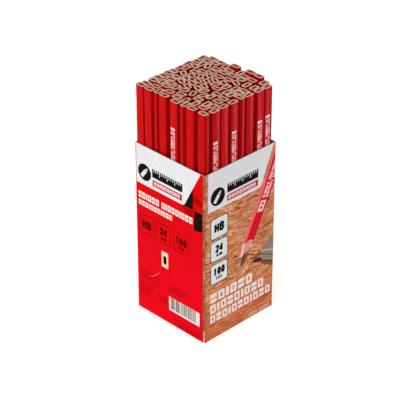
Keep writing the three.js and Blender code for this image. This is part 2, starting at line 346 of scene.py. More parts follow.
def add_coat(build, stand):
    """The lacquer: a thin sleeve, rounded off at both cuts, with a rim of bare ground coat inside, made pale
    to serve also as a painted highlight round each cut end.
    """
    outer = outline(PENCIL_WIDTH, PENCIL_THICKNESS, PENCIL_CORNER, CROWN)
    inner = inset(outer, COAT)
    lip = inset(outer, COAT - PRIMER)
    verts, grain = stand.sleeve((inner, 0.0), (lip, 0.0), (outer, COAT_LIP))
    # Painted shade: the edge values darken the lacquer on its rounded corners, where the pencils meet
    edge = [corner_painted_shade(x, y) for ring in (inner, lip, outer, outer, lip, inner) for x, y in ring]
    # The bands of ground coat at both cuts, which are pale also as a painted highlight
    primed_highlight_rings = (0, 4)
    faces = tube_faces(len(outer), 6, True)
    finish = [1 if i // len(outer) in primed_highlight_rings else 0 for i in range(len(faces))]
    build.add(verts, faces, finish, grain=grain, tone=[stand.tone] * len(verts), edge=edge)


def corner_painted_shade(x, y):
    """How much painted shade the lacquer gets: near 1 on the part of a rounded corner that turns to the
    narrow face, 0 on both flat faces.
    """
    across = abs(x) - PENCIL_WIDTH / 2 + PENCIL_CORNER
    up = abs(y) - PENCIL_THICKNESS / 2 + PENCIL_CORNER
    if across <= 0 or up <= 0:
        return 0.0
    turned = atan2(across, up) / (pi / 2)
    skew, focus = 2.4, 1.5
    return max(0.0, sin(pi * turned ** skew)) ** focus


def add_lead(build, stand):
    section = outline(LEAD_WIDTH, LEAD_THICKNESS, LEAD_CORNER - GLUE_GAP)
    rim = inset(section, LEAD_EDGE)
    verts, grain = stand.sleeve((rim, LEAD_SINK), (section, LEAD_SINK + LEAD_BEVEL))
    build.add(verts, solid_faces(len(section), 4), grain=grain, tone=[stand.tone] * len(verts))


def print_marks(length):
    """The patches of foil: a plain tab, then two rows of short strokes in place of lettering."""
    marks = [PRINT_TAB]
    for low, high, pitch, words in PRINT_ROWS:
        down = ROW_START
        stroke = STROKE_SHARE * pitch
        for word in words:
            for letter in range(word):
                shape = (letter * letter * 3 + letter + word * 5) % 7
                marks.append((low, high, down, down + stroke))
                if shape > 1:
                    part = low + (high - low) * SHAPE_SHARE * shape
                    marks.append((low, part, down + stroke, down + 2 * stroke))
                down += pitch
            down += pitch
    return [mark for mark in marks if mark[3] < length]


def add_print(build, stand, length):
    """The foil lies on the crowned face, so each patch is bent like it."""
    side = stand.print_side
    half = PENCIL_WIDTH / 2 - PENCIL_CORNER
    n, count = PRINT_SPANS, 2 * PRINT_SPANS + 2
    faces = tube_faces(count, 2) + [[i + 1, i, count - 1 - i, count - 2 - i] for i in range(n)]
    faces += [[count + i, count + i + 1, 2 * count - 2 - i, 2 * count - 1 - i] for i in range(n)]
    start = stand.top - stand.print_drop
    for x0, x1, down0, down1 in print_marks(length):
        xs = [x0 + (x1 - x0) * i / n for i in range(n + 1)]
        crowned = [(x, PENCIL_THICKNESS / 2 - CROWN * (x / half) ** 2) for x in xs]
        profile = [(x, y - PRINT_SUNK) for x, y in crowned]
        profile += [(x, y + PRINT_RISE) for x, y in crowned[::-1]]
        corners = [(side * x, side * y, z) for z in (start - down1, start - down0) for x, y in profile]
        verts = [stand.place(*c) for c in corners]
        build.add(verts, faces, grain=[stand.grain(*c) for c in corners])


def finish_piece(name, build, inks, body, slot, *replaced):
    piece = make_object(name, build, [INKS[ink] for ink in inks])
    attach(piece, body)
    if replaced:
        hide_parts(*replaced)
    return piece


def display_pencil(name):
    stand = display_stand(name)
    for side, words in ((1, "outer_slat"), (-1, "inner_slat")):
        build = Build()
        add_slat(build, stand, side)
        node = f"{name}_{words}"
        finish_piece(f"{node}_wood", build, ["wood"], name, "lacquered_wood", node)
    lead, coat, marks = Build(), Build(), Build()
    add_lead(lead, stand)
    add_coat(coat, stand)
    add_print(marks, stand, PRINT_LENGTH)
    finish_piece(f"{name}_lead_core", lead, ["lead"], name, "lead", f"{name}_lead")
    finish_piece(f"{name}_lacquer", coat, ["lacquer", "primer_and_rim_highlight"], name, "lacquered_wood")
    finish_piece(f"{name}_foil_print", marks, ["foil"], name, "lacquered_wood")


def pencil_bundle(node):
    wood, leads, coats, marks = Build(), Build(), Build(), Build()
    for stand in bundle_stands(node):
        add_slat(wood, stand, 1)
        add_slat(wood, stand, -1)
        add_lead(leads, stand)
        add_coat(coats, stand)
        add_print(marks, stand, PACKED_PRINT_LENGTH)
    finish_piece(f"{node}_wood", wood, ["wood"], "carton", "lacquered_wood", node)
    finish_piece(f"{node}_leads", leads, ["lead"], "carton", "lead")
    finish_piece(f"{node}_lacquer", coats, ["lacquer", "primer_and_rim_highlight"], "carton", "lacquered_wood")
    finish_piece(f"{node}_foil_print", marks, ["foil"], "carton", "lacquered_wood")


# ---- print shapes: outlines on a carton side, x from its left edge and z from the ground ----

def rect(x0, z0, x1, z1, radius=0.0):
    if not radius:
        return [(x0, z0), (x1, z0), (x1, z1), (x0, z1)]
    points = []
    for quarter, (cx, cz) in enumerate(((x1, z1), (x0, z1), (x0, z0), (x1, z0))):
        cx += -radius if quarter in (0, 3) else radius
        cz += -radius if quarter in (0, 1) else radius
        points += arc(cx, cz, radius, 90 * quarter, 90 * quarter + 90, 6)
    return points


def arc(cx, cz, radius, start, end, steps, squash=1.0):
    angles = [radians(start + (end - start) * i / steps) for i in range(steps + 1)]
    return [(cx + radius * cos(a), cz + squash * radius * sin(a)) for a in angles]


def disc(cx, cz, radius):
    return arc(cx, cz, radius, 0, 345, 23)


def moved(points, x, z, scale, degrees):
    c, s = cos(radians(degrees)), sin(radians(degrees))
    return [(x + scale * (px * c - pz * s), z + scale * (px * s + pz * c)) for px, pz in points]


def pen_line(points, width):
    """A line through the points: a bar for each stretch and a disc at each bend."""
    shapes = []
    for (ax, az), (bx, bz) in zip(points, points[1:]):
        length = hypot(bx - ax, bz - az)
        nx, nz = (az - bz) / length * width / 2, (bx - ax) / length * width / 2
        shapes.append([(ax + nx, az + nz), (ax - nx, az - nz), (bx - nx, bz - nz), (bx + nx, bz + nz)])
    shapes += [arc(x, z, width / 2, 0, 330, 11) for x, z in points[1:-1]]
    return shapes


# Plain numerals and the hardness grade, as pen strokes in a cell 1 wide and 1.5 high
STROKES = {
    "c": [arc(0.5, 0.45, 0.34, 40, 320, 14)],
    "m": [
        [(0.08, 0), (0.08, 0.86)], [(0.08, 0.76), (0.92, 0.76), (0.92, 0)], [(0.5, 0.76), (0.5, 0)],
    ],
    "0": [arc(0.5, 0.75, 0.36, 0, 360, 20, 1.75)],
    "1": [[(0.2, 1.15), (0.52, 1.4), (0.52, 0)]],
    "2": [arc(0.5, 1.02, 0.36, 165, -35, 12) + [(0.12, 0.1), (0.92, 0.1)]],
    "4": [[(0.7, 0), (0.7, 1.4), (0.06, 0.45), (0.98, 0.45)]],
    "H": [[(0.14, 0), (0.14, 1.5)], [(0.86, 0), (0.86, 1.5)], [(0.14, 0.75), (0.86, 0.75)]],
    "B": [
        [(0.14, 0), (0.14, 1.5)],
        [(0.1, 1.4)] + arc(0.5, 1.09, 0.31, 90, -90, 10) + [(0.1, 0.78)],
        [(0.1, 0.78)] + arc(0.52, 0.44, 0.34, 90, -90, 10) + [(0.1, 0.1)],
    ],
}


def figures(text, x, z, height, pen, narrow=0.86):
    """Numerals or the grade, centred on x, standing on z."""
    gap = 0.3
    scale = height / 1.5
    pitch = (narrow + gap) * scale
    start = x - (len(text) * pitch - gap * scale) / 2
    shapes = []
    for i, sign in enumerate(text):
        for line in STROKES[sign]:
            cell = [(start + i * pitch + px * narrow * scale, z + pz * scale) for px, pz in line]
            shapes += pen_line(cell, pen * scale)
    return shapes


def lettering(x, z, height, words, pitch):
    """Blank blocks in place of letters: narrow bars, hollow blocks and stacked pairs."""
    shapes = []
    for word in words:
        for letter in range(word):
            kind = (3 * letter + word) % 4
            wide = pitch * (0.34 if kind == 0 else 0.8)
            t, h = 0.34 * wide, 0.26 * height
            x1, z1 = x + wide, z + height
            if kind == 0:
                shapes.append(rect(x, z, x1, z1))
            elif kind == 2:
                shapes += [rect(x, z, x1, z + 0.4 * height), rect(x, z1 - 0.45 * height, x1, z1)]
            else:
                shapes += [rect(x, z, x + t, z1), rect(x1 - t, z, x1, z1)]
                shapes += [rect(x, z, x1, z + h), rect(x, z1 - h, x1, z1)]
            x = x1 + 0.2 * pitch
        x += pitch * 0.55
    return shapes


def fine_lines(x0, z0, x1, z1, lines):
    """A block of small print, as thin bars."""
    step = (z1 - z0) / lines
    shares = (1.0, 0.86, 0.94, 0.7, 0.9, 0.6)
    ends = [x0 + (x1 - x0) * shares[i % 6] for i in range(lines)]
    return [rect(x0, z1 - (i + 0.6) * step, end, z1 - i * step) for i, end in enumerate(ends)]


def pencil_sign(x, z, size, degrees):
    """A pictogram of a pencil: body and tip, lying along +X before it is turned."""
    body = [(-0.5, -0.14), (0.16, -0.14), (0.16, 0.14), (-0.5, 0.14)]
    tip = [(0.21, -0.14), (0.5, 0.0), (0.21, 0.14)]
    return [moved(shape, x, z, size, degrees) for shape in (body, tip)]


def rule_sign(x, z, length, height):
    """A pictogram of a carpenter's rule: a dark bar, and the ticks that are cut into its upper edge."""
    ticks, half_tick = 16, 0.42
    cuts = []
    for i in range(1, ticks):
        depth = height * (0.62 if i % 4 == 0 else 0.34)
        at = x + length * i / ticks
        cuts.append(rect(at - half_tick, z + height - depth, at + half_tick, z + height + 0.3))
    return [rect(x, z, x + length, z + height, 0.8)], cuts


# ---- the art of the two display sides: (ink, outlines), later ones over earlier ones ----

PAST_RIM = 184.5
BADGE_CORNER = 3.8
SIGN_HEIGHT = 155.8


def panel_art(left, foot, lean_top, lean_foot):
    """The white panel, up to the side's rim, with its right edge leaning."""
    corner = [(lean_foot - 3, foot), (lean_foot, foot + 1.2)]
    return [(left, foot), *corner, (lean_top, PAST_RIM), (left, PAST_RIM)]


def panel_signs(x, radius, size, rule_place, strip, blocks):
    """What the panel carries: a pencil on a black disc, a rule, and a strip of blank blocks."""
    rule, ticks = rule_sign(*rule_place)
    return [
        ("ink_black", [disc(x, SIGN_HEIGHT, radius)]),
        ("panel_white", pencil_sign(x, SIGN_HEIGHT, size, 52)),
        ("ink_black", rule),
        ("panel_white", ticks),
        ("ink_crimson", [rect(*strip)]),
        ("panel_white", lettering(*blocks)),
    ]


def badge(x, z, half_width, half_height, edge, face, line):
    w, h = half_width - line, half_height - line
    return [
        (edge, [rect(x - half_width, z - half_height, x + half_width, z + half_height, BADGE_CORNER)]),
        (face, [rect(x - w, z - h, x + w, z + h, BADGE_CORNER - line)]),
    ]


def badge_words(x, z, sign, ink, bold):
    """A badge's figures, and below them what they count: cm, or four small sticks for the pencils."""
    if sign == "HB":
        return [(ink, figures(sign, x, z - 4.2, 8.6, bold))]
    art = [(ink, figures(sign, x, z - 1.6, 7.4, bold, 0.74))]
    if sign == "24":
        return art + [(ink, figures("cm", x, z - 6.6, 4.6, bold, 1))]
    return art + [(ink, [rect(x + dx, z - 7, x + dx + 1.3, z - 3.6) for dx in (-3.8, -1.8, 0.2, 2.2)])]


def red_side_art():
    """The plain red side: data, section drawing, small print and bar pattern."""
    art = [
        ("ink_black", [[(60, 142), (77.3, 142), (77.3, 165), (70, 165)]]),
        ("panel_white", [panel_art(1.5, 142, 87.5, 66)]),
        ("ink_deep_red", [
            [(77.3, 158.4), (89.6, 155.6), (89.6, 149.2), (77.3, 150.6)],
            [(61, 141.2), (77.3, 141.6), (76.4, 131.6), (69.4, 134.4)],
        ]),
        ("ink_black", [[(78.6, 142.2), (89.7, 142.2), (89.7, 123.2), (78.6, 120.4)]]),
    ]
    art += panel_signs(
        12.6, 8.9, 13.5, (23, 154.8, 40.4, 9), (23.4, 145.6, 62.8, 152.2), (25.2, 147.2, 3.5, (10,), 3.9),
    )
    title = lettering(3.8, 126.2, 6.8, (6, 9), 5.2) + lettering(3.8, 118.2, 5.6, (11,), 4.6)
    art.append(("ink_white", title))
    for x, sign in ((14.3, "HB"), (37.4, "24"), (61.4, "100")):
        art += badge(x, 98.4, 10.3, 11, "ink_deep_red", "side_red", 1.1)
        art += badge_words(x, 98.2, sign, "ink_shadow_red", 0.42)
    size_lines = (
        (19, 70.6, 31.5, 71.3), (46, 70.6, 58, 71.3), (34.2, 57.2, 43.6, 57.8), (34, 56.4, 34.5, 60.2),
        (43.4, 56.4, 43.9, 60.2),
    )
    blocks = ((4.4, 36, 31.6, 46.8, 5), (43.8, 36.6, 72, 45, 4), (4.4, 17, 25, 32.6, 6))
    fine_print = [rect(*line) for line in size_lines]
    fine_print += [bar for block in blocks for bar in fine_lines(*block)]
    frame_line = [(48.8, 0.1), (49.6, 0.1), (52.6, 9), (51.8, 9)]
    return art + [
        ("ink_cream", [rect(34.5, 61.6, 43.4, 79, 0.8)]),
        ("ink_black", [rect(36.8, 65.2, 41.1, 74.4, 1.5)]),
        ("ink_fine_red", fine_print),
        ("ink_deep_red", [disc(30.2, 24.2, 2.9), rect(35.4, 21.2, 41.2, 27.2, 1)]),
        ("side_red", [disc(30.2, 24.2, 1.7), rect(36.9, 22.7, 39.7, 25.7, 0.6)]),
        ("ink_scuff", [scuff(16.5, 42.4, 33.6, 56.4, 3.2, 0.5)]),
        ("ink_white", [rect(44.2, 15.9, 85.8, 31.5)]),
        ("ink_black", bar_pattern(46.6, 17.8, 83.6, 31.5)),
        ("ink_deep_red", [rect(49.4, 0.1, 92.4, 0.7), frame_line]),
        ("ink_deep_red", [rect(52.2, 8.3, 92.4, 9)] + lettering(56, 2.2, 4, (9,), 4)),
        ("wood_dark", [rect(90.4, 0, 92.5, 183.6)]),
        ("board_cut", [
            [(92.5, 0), (92.5, 15), (91.3, 12.2), (91.5, 6), (90.6, 0)],
            [(92.5, 71), (92.5, 77), (91.7, 75.2), (91.6, 72.4)],
            [(92.5, 149), (92.5, 153.4), (91.6, 152), (91.5, 150.4)],
        ]),
    ]


def scuff(x0, z0, x1, z1, sag, width):
    """A shallow curved scrape between two places."""
    upper, lower = [], []
    for i in range(13):
        t = i / 12
        bow, thick = sag * 4 * t * (1 - t), width * sin(pi * t)
        x, z = x0 + (x1 - x0) * t, z0 + (z1 - z0) * t - bow
        upper.append((x, z + thick / 2 + 0.02))
        lower.append((x, z - thick / 2 - 0.02))
    return upper + lower[::-1]


def bar_pattern(x0, z0, x1, z1):
    """Upright bars of many widths, in no code."""
    dice = random.Random(7)
    bars, x = [], x0
    while x < x1 - 2:
        width = dice.choice((0.4, 0.4, 0.8, 1.2))
        bars.append(rect(x, z0, x + width, z1))
        x += width + dice.choice((0.4, 0.5, 0.8, 1.1))
    return bars


def wood_side_art():
    """The pictorial side: a sharpened pencil on weathered wood, badges down the left and blocks below."""
    art = [("wood_dark", [rect(0, 0, 1.4, 183.6)])]
    art += [("wood_crack", crack) for crack in wood_cracks()]
    art += [
        ("wood_shade", [[(65, 68), (70, 70.4), (76.4, 71.6), (76.6, 66.4), (70, 66.2)]]),
        ("wood_crack", [[(62, 63.4), (69, 65.4), (76.8, 63.4), (77.2, 58.4), (71, 60.4)]]),
        ("wood_shade", [[(76.7, 59.4), (94, 51), (94, 46.6), (84, 52), (76, 56.4)]]),
        ("slab_top", [[(76, 72.3), (84, 78.6), (94, 85.4), (94, 66.2)]]),
        ("slab_edge", [[(76, 72.3), (94, 66.2), (94, 50.8), (76.8, 59.2)]]),
        ("slab_light", [[(76, 72.3), (94, 66.2), (94, 63.8), (76.2, 70.4)]]),
        ("slab_line", [
            [(76.3, 67.6), (94, 59.8), (94, 58.6), (76.4, 66.8)],
            [(76.7, 60.6), (94, 52.4), (94, 50.8), (76.8, 59.2)],
        ]),
        ("panel_white", [panel_art(4.4, 142.4, 91.4, 74.5)]),
    ]
    art += panel_signs(
        17, 9.3, 14, (29.3, 154.8, 41, 9.4), (29.2, 145.8, 70.2, 152.6), (31.2, 147.4, 3.6, (10,), 4.05),
    )
    for z, sign in ((122.5, "HB"), (97.7, "24"), (72.6, "100")):
        art += badge(19.2, z, 11.6, 11.4, "ink_black", "badge_grey", 0.9)
        art += badge_words(19.2, z, sign, "ink_black", 0.48)
    art += pictured_pencil()
    for line in ((41.4, 10.2, (6,), 10.6), (29.6, 9.4, (9,), 9.2), (18.4, 8.6, (11,), 8.3)):
        art += [("ink_white", lettering(7.7, *line))]
    return art + [
        ("ink_pale", [rect(57.6, 8.8, 93.8, 9.4), [(54.4, 0.2), (55, 0.2), (58.2, 9.4), (57.6, 9.4)]]),
        ("ink_pale", lettering(60.4, 1.6, 3.8, (4, 5), 3.4)),
    ]


def wood_cracks():
    """Dark splits along the grain: thin lens shapes, as x, z, length, thickness and slope."""
    cracks = []
    for x, z, length, thick, slope in (
        (41, 79.5, 10, 1.6, -18), (15, 60.2, 9, 1, 12), (53, 101.5, 7, 1.2, 35), (85, 124, 8, 1.3, 48),
        (66, 67, 12, 1.5, -22), (44, 112, 9, 0.7, -8), (12, 138.5, 8, 0.8, 10), (36, 127, 13, 0.8, -12),
        (80, 97, 10, 0.8, 30), (60, 55, 14, 1, -10), (24, 12, 16, 0.8, -9), (79, 13, 9, 0.9, 14),
        (50, 92, 6, 0.9, -35), (86, 44, 8, 0.9, 22),
    ):
        t = thick / length
        lens = [(-0.5, 0), (-0.2, -0.5 * t), (0.25, -0.32 * t), (0.5, 0), (0.1, 0.5 * t), (-0.3, 0.3 * t)]
        cracks.append([moved(lens, x, z, length, slope)])
    return cracks


def pictured_pencil():
    """The pencil of the picture, from its point up to where the side cuts it off: a lit narrow facet on its
    left, then the broad face with print like the real pencil's."""
    left_edge = ((90, 50.7), (126.8, 69.1), (180, 93.6))
    right_edge = ((90, 65.3), (126.8, 83.9), (180, 110))
    slant = 3.4
    ridge = 0.27
    top = 184

    def across(edge, z):
        (z0, x0), (z1, x1) = edge[:2] if z < edge[1][0] else edge[1:]
        return x0 + (x1 - x0) * (z - z0) / (z1 - z0)

    def at(share, z):
        left, right = across(left_edge, z), across(right_edge, z)
        return (left + (right - left) * share, z - slant * share)

    def patch(low, high, z0, z1):
        return path((low, z0), (high, z0), (high, z1), (low, z1))

    def path(*corners):
        return [at(*corner) for corner in corners]

    body = path((ridge, 89), (0.6, 92.4), (1, 91), (1, 127), (1, top), (0, top), (0, 176), (0.1, 176),
                (ridge, 127))
    facet = path((0, 90.4), (ridge, 89), (ridge, 127), (0.1, 176), (0, 176), (0, 127))
    far_edge = path((0.9, 91.4), (1, 91), (1, 127), (1, top), (0.9, top), (0.9, 127))
    cone_left, cone_ridge, cone_right, point = (47.3, 76.6), (50.2, 75.2), (55.6, 78), (48.5, 65.4)
    art = [
        ("wood_shade", [[(49.4, 64.6), (53.4, 76.4), (57.4, 78), (60, 75), (55, 69)]]),
        ("ink_cone_lit", [[at(0, 90.8), cone_left, cone_ridge, at(ridge, 89.4)]]),
        ("ink_cone", [[at(ridge, 89.4), cone_ridge, cone_right, at(1, 91.4), at(0.6, 92.6)]]),
        ("ink_graphite_lit", [[cone_left, (47.7, 66.4), point, cone_ridge]]),
        ("ink_graphite", [[cone_ridge, point, (50, 66.2), cone_right, (53, 77.6)]]),
        ("ink_lit_red", [facet]),
        ("ink_body_red", [body]),
        ("ink_edge_red", [far_edge]),
        ("ink_print_pink", [patch(0.36, 0.86, 118, 128.4)]),
        ("ink_body_red", [patch(0.5, 0.72, z, z + 2.2) for z in (120.4, 124.4)]),
    ]
    marks = []
    for low, high, step, words in ((0.36, 0.6, 2.1, (7, 9, 8)), (0.66, 0.86, 1.8, (9, 6, 10))):
        z = 131
        for word in words:
            for letter in range(word):
                share = 0.46 if (letter + word) % 4 == 0 else 0.74
                marks.append(patch(low, high, z, z + step * share))
                z += step
            z += step
    return art + [("ink_print_pink", marks)]


# ---- carton ----

# Which way each side faces
OUTWARD = {"left": (-1, 0), "front": (0, -1), "right": (1, 0), "back": (0, 1)}


def side_size(key):
    """A side's width, and its distance from the carton's middle."""
    return (CARTON_Y, CARTON_X / 2) if OUTWARD[key][0] else (CARTON_X, CARTON_Y / 2)


def on_side(key, x, z, depth):
    """A point of a carton side: x from its left edge, z up, depth into the board. Near an upright edge the
    side bends round the fold, to the line where it meets the next one."""
    width, reach = side_size(key)
    along, inward = x, depth
    for near, mirror in ((x, False), (width - x, True)):
        if near < FOLD_RADIUS:
            angle = (1 - near / FOLD_RADIUS) * pi / 4
            bend = FOLD_RADIUS - depth
            along = FOLD_RADIUS - bend * sin(angle)
            along = width - along if mirror else along
            inward = FOLD_RADIUS - bend * cos(angle)
    across, out = along - width / 2, reach - inward
    ox, oy = OUTWARD[key]
    return (ox * out - oy * across, oy * out + ox * across, z)


def clipped(shape, width, height):
    """The part of an outline that lies on a side of that width and height."""
    for axis, limit, sign in ((0, 0.0, 1), (0, width, -1), (1, 0.0, 1), (1, height, -1)):
        kept = []
        for a, b in zip(shape, shape[1:] + shape[:1]):
            from_a, from_b = sign * (a[axis] - limit), sign * (b[axis] - limit)
            if from_a >= 0:
                kept.append(a)
            if from_a * from_b < 0:
                share = from_a / (from_a - from_b)
                kept.append((a[0] + (b[0] - a[0]) * share, a[1] + (b[1] - a[1]) * share))
        shape = kept
    return shape


def divide(width, height, art):
    """Cuts the side along every outline and fold. Returns points, and triangles with their top layer."""
    points, edges, faces, layer_of = [], [], [], []
    smallest_area, weld = 1e-2, 1e-4

    def face(shape, layer):
        area = sum(ax * bz - bx * az for (ax, az), (bx, bz) in zip(shape, shape[1:] + shape[:1]))
        if abs(area) < smallest_area:
            return
        faces.append(list(range(len(points), len(points) + len(shape))))
        points.extend(Vector(p) for p in (shape if area > 0 else shape[::-1]))
        layer_of.append(layer)

    face([(0, 0), (width, 0), (width, height), (0, height)], 0)
    for layer, (_, shapes) in enumerate(art, start=1):
        for shape in shapes:
            face(clipped(shape, width, height), layer)
    uprights = [FOLD_RADIUS * i / FOLD_STEPS for i in range(1, FOLD_STEPS + 1)]
    for x in uprights + [width - x for x in uprights]:
        edges.append((len(points), len(points) + 1))
        points += [Vector((x, 0)), Vector((x, height))]
    verts, _, triangles, _, _, origins = delaunay_2d_cdt(points, edges, faces, 1, weld)
    inside = [(triangle, origin) for triangle, origin in zip(triangles, origins) if 0 in origin]
    return verts, [(triangle, max(layer_of[i] for i in origin)) for triangle, origin in inside]


def carton_side(key, base_ink, art):
    width, _ = side_size(key)
    verts, triangles = divide(width, CARTON_HEIGHT, art)
    ink_names = [base_ink] + [ink for ink, _ in art]
    used = sorted(set(ink_names)) + ["board_back", "board_cut"]
    count = len(verts)
    shape = [on_side(key, v.x, v.y, depth) for depth in (0.0, BOARD) for v in verts]
    edges, faces, finish = {}, [], []
    for (a, b, c), layer in triangles:
        turn = (verts[b] - verts[a]).cross(verts[c] - verts[a])
        if abs(turn) < 1e-9:
            continue
        if turn < 0:
            b, c = c, b
        faces += [[a, b, c], [count + a, count + c, count + b]]
        finish += [used.index(ink_names[layer]), used.index("board_back")]
        edges.update(dict.fromkeys(((a, b), (b, c), (c, a))))
    for i, j in edges:
        if (j, i) not in edges:
            faces.append([j, i, count + i, count + j])
            finish.append(used.index("board_cut"))
    build = Build()
    print_place = [(v.x, v.y, 0.0) for v in verts]
    wear = [fold_wear(v.x, width) for v in verts]
    build.add(shape, faces, finish, art=print_place * 2, wear=wear * 2)
    return finish_piece(f"carton_{key}_side", build, used, "carton", "printed_board")


def fold_wear(x, width):
    """How rubbed the print is: most on the upright folds."""
    return max(0.0, 1.0 - min(x, width - x) / WEAR_REACH)


def add_plate(build, points, low, high, upright=False):
    """A flat piece of board. Points are anticlockwise from above."""
    verts = [(x, y, z) for z in (low, high) for x, y in points]
    place = [(y, z, 0.0) if upright else (x, y, 0.0) for x, y, z in verts]
    build.add(verts, solid_faces(len(points)), art=place, wear=[0.0] * len(verts))


def carton_flaps():
    """The bottom's three layers and the glue flap, all inside the four sides."""
    x, y = CARTON_X / 2 - BOARD - LAYER_GAP, CARTON_Y / 2 - BOARD - LAYER_GAP
    fold = LAYER_GAP - HAIR
    layer = BOARD + LAYER_GAP
    outer, inner, dust, glue = (Build() for _ in range(4))
    add_plate(outer, rect(-x, -y - fold, x, y), 0.0, BOARD)
    add_plate(inner, rect(-x, -y, x, y + fold), 2 * layer, 2 * layer + BOARD)
    tip = x - DUST_FLAP_DEPTH + LAYER_GAP
    for side in (-1, 1):
        points = [(side * (x + fold), -y), (side * (x + fold), y)]
        points += [(side * tip, y - FLAP_TAPER), (side * tip, FLAP_TAPER - y)]
        add_plate(dust, points[::side], layer, layer + BOARD)
    inside, back = CARTON_X / 2 - BOARD, CARTON_Y / 2 - BOARD
    flap = rect(inside - BOARD, back - GLUE_FLAP_WIDTH, inside - HAIR, back - HAIR)
    add_plate(glue, flap, 2 * layer + BOARD + GLUE_FLAP_INSET, CARTON_HEIGHT - GLUE_FLAP_INSET, True)
    flaps = {"outer_bottom_flap": outer, "inner_bottom_flap": inner, "dust_flaps": dust, "glue_flap": glue}
    for name, build in flaps.items():
        finish_piece(f"carton_{name}", build, ["board_back"], "carton", "printed_board")


# ---- materials ----

def rgb(red, green, blue):
    """A screen colour, 0 to 255, as linear light."""
    def linear(value):
        value /= 255
        return value / 12.92 if value <= 0.04045 else ((value + 0.055) / 1.055) ** 2.4
    return (linear(red), linear(green), linear(blue), 1.0)


class Shader:
    """A material's node tree, with short calls for the nodes that the finishes here need."""

    def __init__(self, name):
        self.material = bpy.data.materials.new(name)
        self.material.use_nodes = True
        self.tree = self.material.node_tree
        self.surface = self.tree.nodes["Principled BSDF"]

    def set(self, **sockets):
        for name, value in sockets.items():
            self.put(self.surface.inputs[name.replace("_", " ")], value)

    def put(self, socket, value):
        if isinstance(value, bpy.types.NodeSocket):
            self.tree.links.new(value, socket)
        else:
            socket.default_value = value

    def node(self, kind, settings=None, **inputs):
        made = self.tree.nodes.new("ShaderNode" + kind)
        for key, value in (settings or {}).items():
            setattr(made, key, value)
        for key, value in inputs.items():
            self.put(made.inputs[key.replace("_", " ")], value)
        return made

    def attribute(self, name, output="Vector"):
        return self.node("Attribute", {"attribute_name": name}).outputs[output]

    def height(self, place):
        return self.node("SeparateXYZ", Vector=place).outputs["Y"]

    def scaled(self, vector, scale, turn=0):
        """The vector scaled, and turned about Z by that many degrees."""
        turned = (0, 0, radians(turn))
        return self.node("Mapping", Vector=vector, Scale=scale, Rotation=turned).outputs["Vector"]

    def noise(self, vector, scale, detail, roughness=0.55, distortion=0.0):
        shape = {"Scale": scale, "Detail": detail, "Roughness": roughness, "Distortion": distortion}
        return self.node("TexNoise", Vector=vector, **shape).outputs["Fac"]

    def ramp(self, value, *stops):
        """Stops are (position, colour)."""
        made = self.node("ValToRGB", Fac=value)
        elements = made.color_ramp.elements
        while len(elements) < len(stops):
            elements.new(0.5)
        for element, (position, colour) in zip(elements, stops):
            element.position = position
            element.color = colour
        return made.outputs["Color"]

    def range(self, value, low, high, to_low, to_high):
        ends = {"From_Min": low, "From_Max": high, "To_Min": to_low, "To_Max": to_high}
        return self.node("MapRange", Value=value, **ends).outputs["Result"]

    def math(self, operation, a, b, kind="Math"):
        made = self.node(kind, {"operation": operation})
        self.put(made.inputs[0], a)
        self.put(made.inputs[1], b)
        return made.outputs[0]

    def mix(self, share, a, b):
        made = self.node("Mix", {"data_type": "RGBA"})
        self.put(made.inputs[0], share)
        self.put(made.inputs[6], a)
        self.put(made.inputs[7], b)
        return made.outputs[2]

    def layers(self, base, *layers, gain=1.0):
        """Lays colours over the base, each where its value is in a range: (value, range, colour)."""
        for value, ends, colour in layers:
            base = self.mix(self.range(value, *ends), base, shade(rgb(*colour), gain))
        return base

    def done(self, colour, rough, shine, relief):
        """Rough is a value and the roughness at its two ends. Relief is a height, a strength and a depth."""
        value, smooth, coarse = rough
        self.set(Base_Color=colour, Roughness=self.range(value, 0.3, 0.7, smooth, coarse))
        self.set(Specular_IOR_Level=shine)
        height, strength, depth = relief
        bump = self.node("Bump", Height=height, Strength=strength, Distance=depth)
        self.set(Normal=bump.outputs["Normal"])
        return self.material


def shade(colour, factor):
    return tuple(c * factor for c in colour[:3]) + (1.0,)


def printed(name, colour, upper=None):
    """Ink on coated board: faint mottling, fibre in the surface, and pale paper in specks where folds are
    rubbed. Upper is the ink's colour on the top half of a side, where it differs."""
    s = Shader(name)
    place = s.attribute("art")
    mottle = s.noise(place, 0.35, 4)
    fibre = s.noise(s.scaled(place, (1, 2.2, 1)), 1.6, 3, 0.7)
    base = s.mix(s.range(mottle, 0.3, 0.7, 0, 1), shade(colour, 0.95), shade(colour, 1.04))
    if upper:
        base = s.mix(s.range(s.height(place), 60, 140, 0, 1), base, upper)
    worn = s.mix(rubbed(s, place), base, rgb(226, 176, 150))
    return s.done(worn, (fibre, 0.4, 0.54), PRINT_SHINE, (fibre, 0.12, 0.00004))


def rubbed(s, place):
    """Where the print has gone: specks along the folds."""
    specks = s.range(s.noise(place, 0.55, 5, 0.75), 0.58, 0.68, 0, 0.8)
    return s.math("MULTIPLY", s.attribute("wear", "Fac"), specks)


